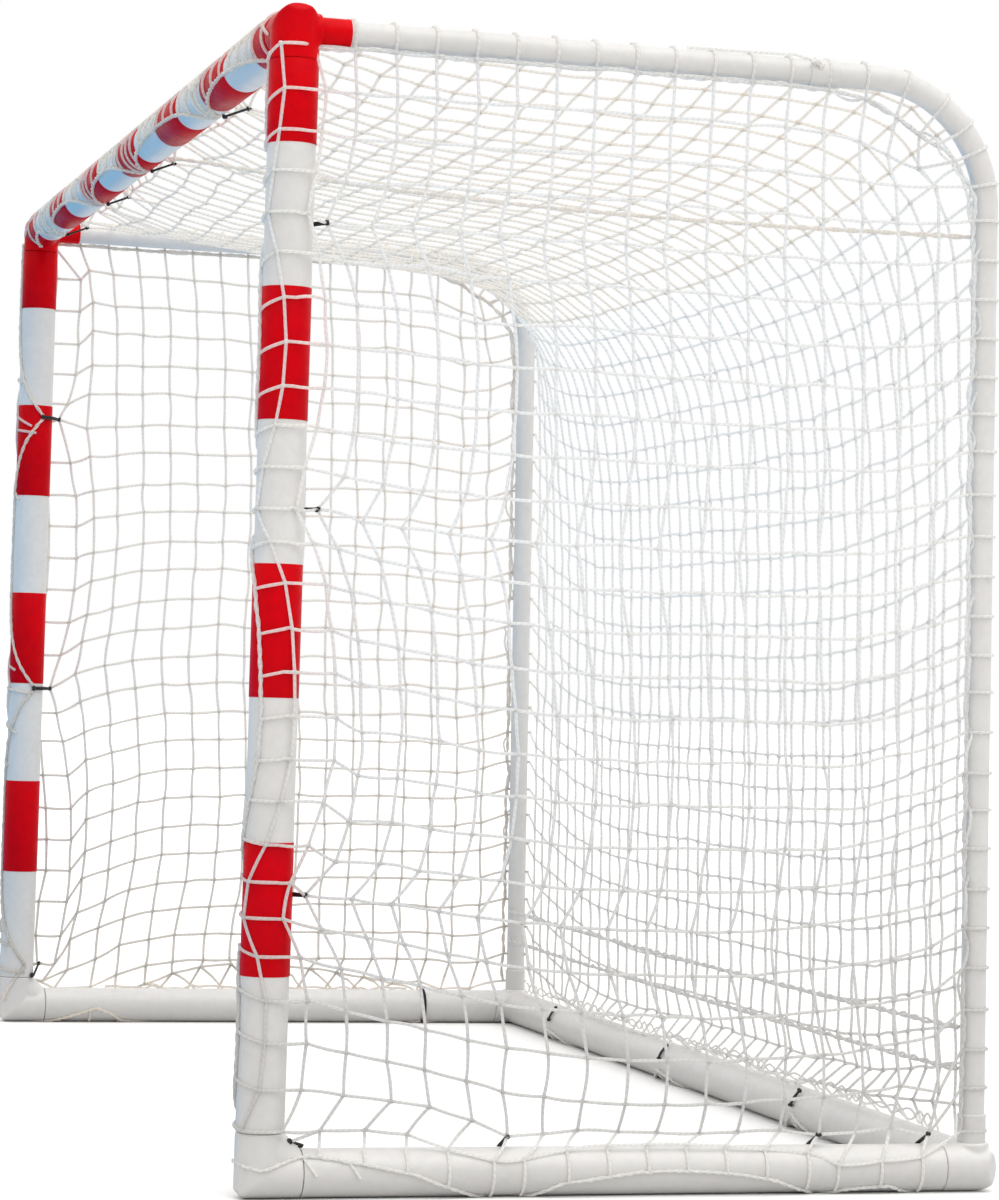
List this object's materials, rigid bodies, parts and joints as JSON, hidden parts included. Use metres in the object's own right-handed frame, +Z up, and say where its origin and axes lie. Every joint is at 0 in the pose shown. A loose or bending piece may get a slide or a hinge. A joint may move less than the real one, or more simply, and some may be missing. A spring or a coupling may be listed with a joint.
{
  "type": "handball goal",
  "caption": "Free-standing small handball goal: plug-together white tube frame with red bands, bent rear bows, corner fittings and a knotted net held by elastic ties.",
  "frame": {"origin": "centre of the footprint, on the floor", "axes": "+X runs along the crossbar to the right post as seen from the field, +Y runs from the mouth back into the goal, +Z is up"},
  "size_m": [2.5664, 1.1727, 1.708],
  "materials": {
    "white_pvc": "satin white tube and fittings, lightly scuffed",
    "red_plastic": "glossy moulded red",
    "red_film": "smooth red film bands",
    "net_cord": "knotted twine, slightly fuzzy, off-white",
    "black_elastic": "matt black cord"
  },
  "bodies": {
    "root": {"back_net": "net_cord", "crossbar": "white_pvc", "crossbar_band_1": "red_film", "crossbar_band_2": "red_film", "crossbar_band_3": "red_film", "crossbar_band_4": "red_film", "crossbar_band_5": "red_film", "crossbar_band_6": "red_film", "crossbar_band_7": "red_film", "crossbar_tie_1": "black_elastic", "crossbar_tie_2": "black_elastic", "crossbar_tie_3": "black_elastic", "crossbar_tie_4": "black_elastic", "left_coupling": "white_pvc", "left_front_foot": "white_pvc", "left_front_post": "white_pvc", "left_ground_bar": "white_pvc", "left_ground_tie_1": "black_elastic", "left_ground_tie_2": "black_elastic", "left_post_band_1": "red_film", "left_post_band_2": "red_film", "left_post_band_3": "red_film", "left_post_band_4": "red_film", "left_post_tie_1": "black_elastic", "left_post_tie_2": "black_elastic", "left_post_tie_3": "black_elastic", "left_rear_bow": "white_pvc", "left_rear_collar": "white_pvc", "left_rear_foot": "white_pvc", "left_side_net": "net_cord", "left_top_collar": "red_plastic", "left_top_corner": "red_plastic", "left_top_tube": "white_pvc", "rear_ground_bar": "white_pvc", "rear_tie_1": "black_elastic", "rear_tie_2": "black_elastic", "rear_tie_3": "black_elastic", "right_coupling": "white_pvc", "right_front_foot": "white_pvc", "right_front_post": "white_pvc", "right_ground_bar": "white_pvc", "right_ground_tie_1": "black_elastic", "right_ground_tie_2": "black_elastic", "right_ground_tie_3": "black_elastic", "right_ground_tie_4": "black_elastic", "right_post_band_1": "red_film", "right_post_band_2": "red_film", "right_post_band_3": "red_film", "right_post_band_4": "red_film", "right_post_tie_1": "black_elastic", "right_post_tie_2": "black_elastic", "right_post_tie_3": "black_elastic", "right_rear_bow": "white_pvc", "right_rear_collar": "white_pvc", "right_rear_foot": "white_pvc", "right_side_net": "net_cord", "right_top_collar": "red_plastic", "right_top_corner": "red_plastic", "right_top_tube": "white_pvc", "roof_net": "net_cord"}
  },
  "joints": []
}
